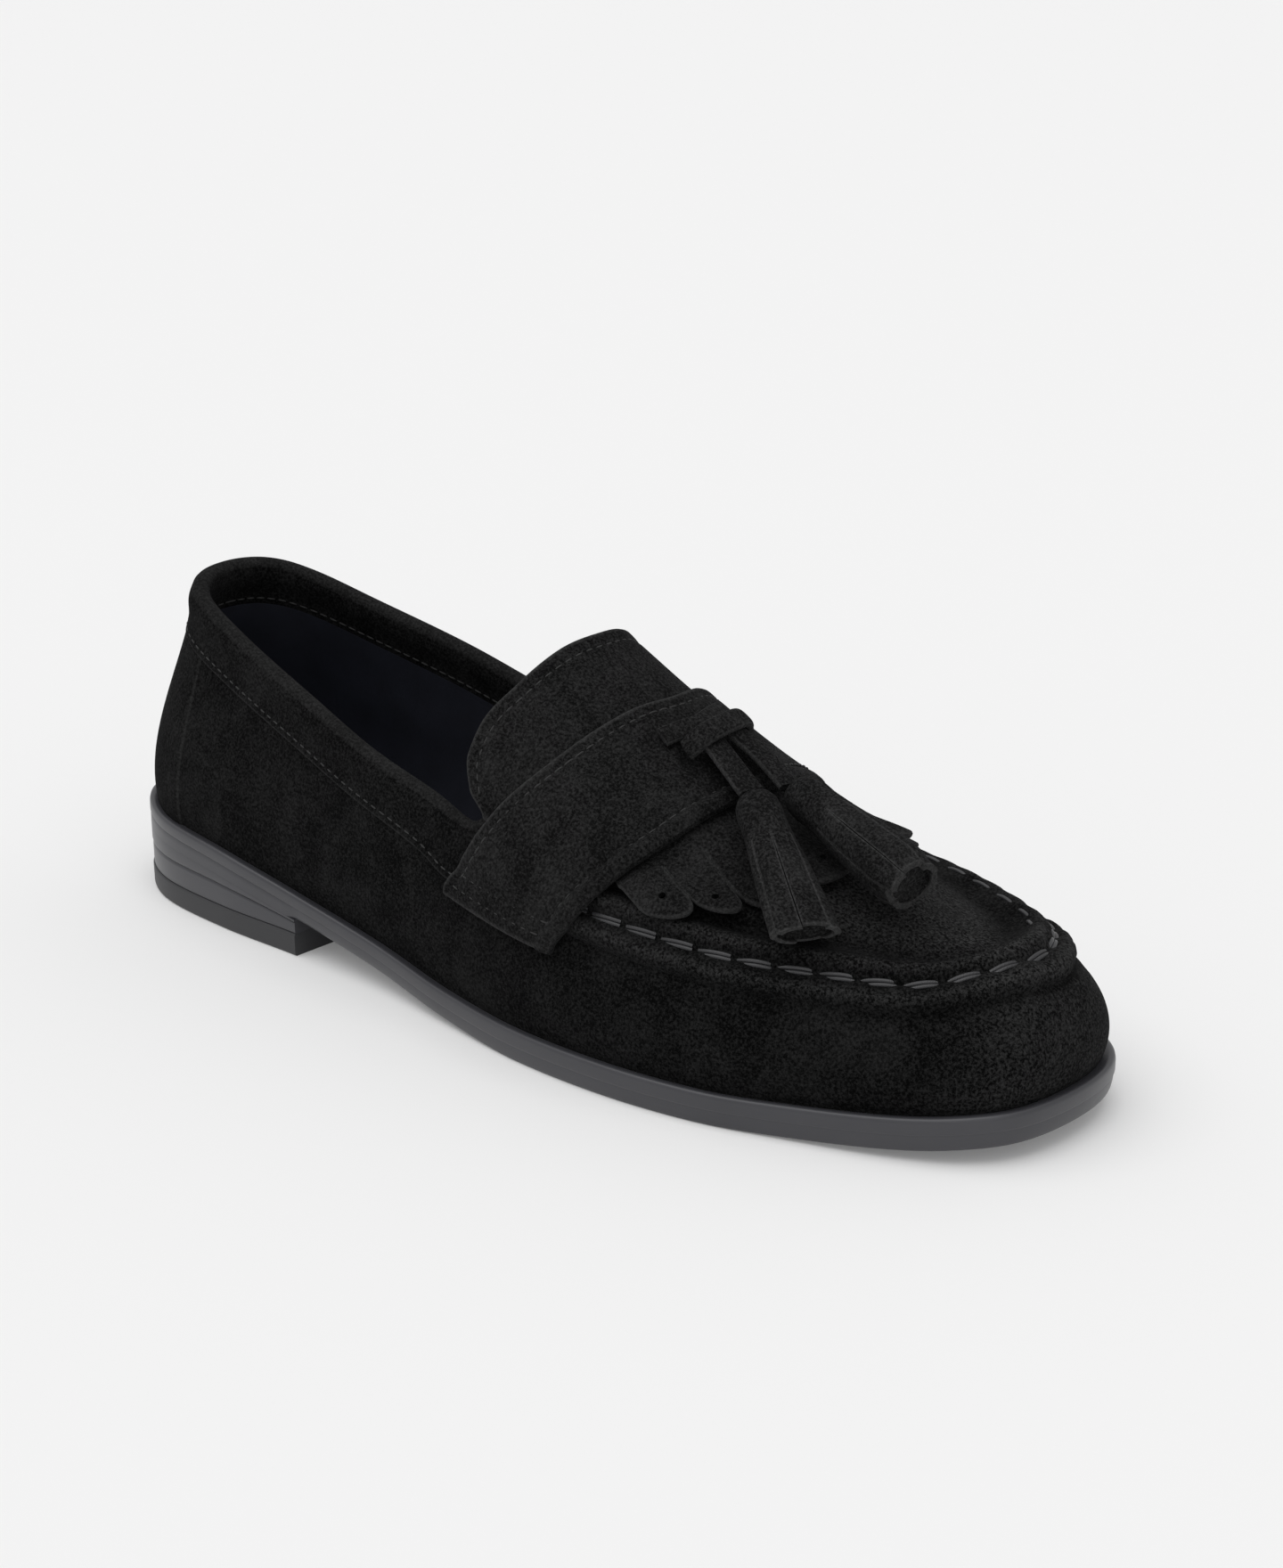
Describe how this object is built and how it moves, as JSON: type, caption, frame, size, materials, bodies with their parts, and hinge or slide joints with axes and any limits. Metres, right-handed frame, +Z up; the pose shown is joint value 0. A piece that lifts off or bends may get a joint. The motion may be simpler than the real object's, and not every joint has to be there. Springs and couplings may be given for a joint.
{
  "type": "tassel loafer",
  "caption": "Slip-on suede loafer for the right foot: moc-toe apron, saddle strap with a cut fringe, a lace and hanging tassels, on a slim rubber sole with a low heel.",
  "frame": {"origin": "centre of the bounding box's bottom: on the floor, midway along the sole's length and midway across its width", "axes": "+X from the heel to the toe, +Y to the medial (inner) side of the foot, -Y to the lateral (outer) side, +Z up; the shoe stands on its sole"},
  "size_m": [0.25, 0.0883, 0.0778],
  "materials": {
    "black_suede_upper": "matte brushed suede",
    "grey_rubber_outsole": "satin moulded rubber",
    "grey_rubber_heel": "satin moulded rubber",
    "dark_rubber_lift": "matt rubber with a fine serrated lower edge",
    "dark_leather_sock": "matt smooth lining leather",
    "black_suede_tongue": "matte brushed suede",
    "black_suede_strap": "matte brushed suede",
    "black_suede_fringe": "matte brushed suede",
    "black_suede_tassel_lateral": "matte brushed suede",
    "black_suede_tassel_medial": "matte brushed suede",
    "black_suede_lace_bridge": "matte brushed suede",
    "black_suede_lace_neck_lateral": "matte brushed suede",
    "black_suede_lace_neck_medial": "matte brushed suede",
    "black_suede_lace_wrap": "matte brushed suede"
  },
  "bodies": {
    "root": {"upper": "black_suede_upper", "outsole": "grey_rubber_outsole", "heel_block": "grey_rubber_heel", "heel_top_lift": "dark_rubber_lift", "insole": "dark_leather_sock", "tongue": "black_suede_tongue", "saddle_strap": "black_suede_strap", "kiltie_fringe": "black_suede_fringe", "tassel_lateral": "black_suede_tassel_lateral", "tassel_medial": "black_suede_tassel_medial", "lace_bridge": "black_suede_lace_bridge", "lace_neck_lateral": "black_suede_lace_neck_lateral", "lace_neck_medial": "black_suede_lace_neck_medial", "lace_wrap": "black_suede_lace_wrap"}
  },
  "joints": []
}
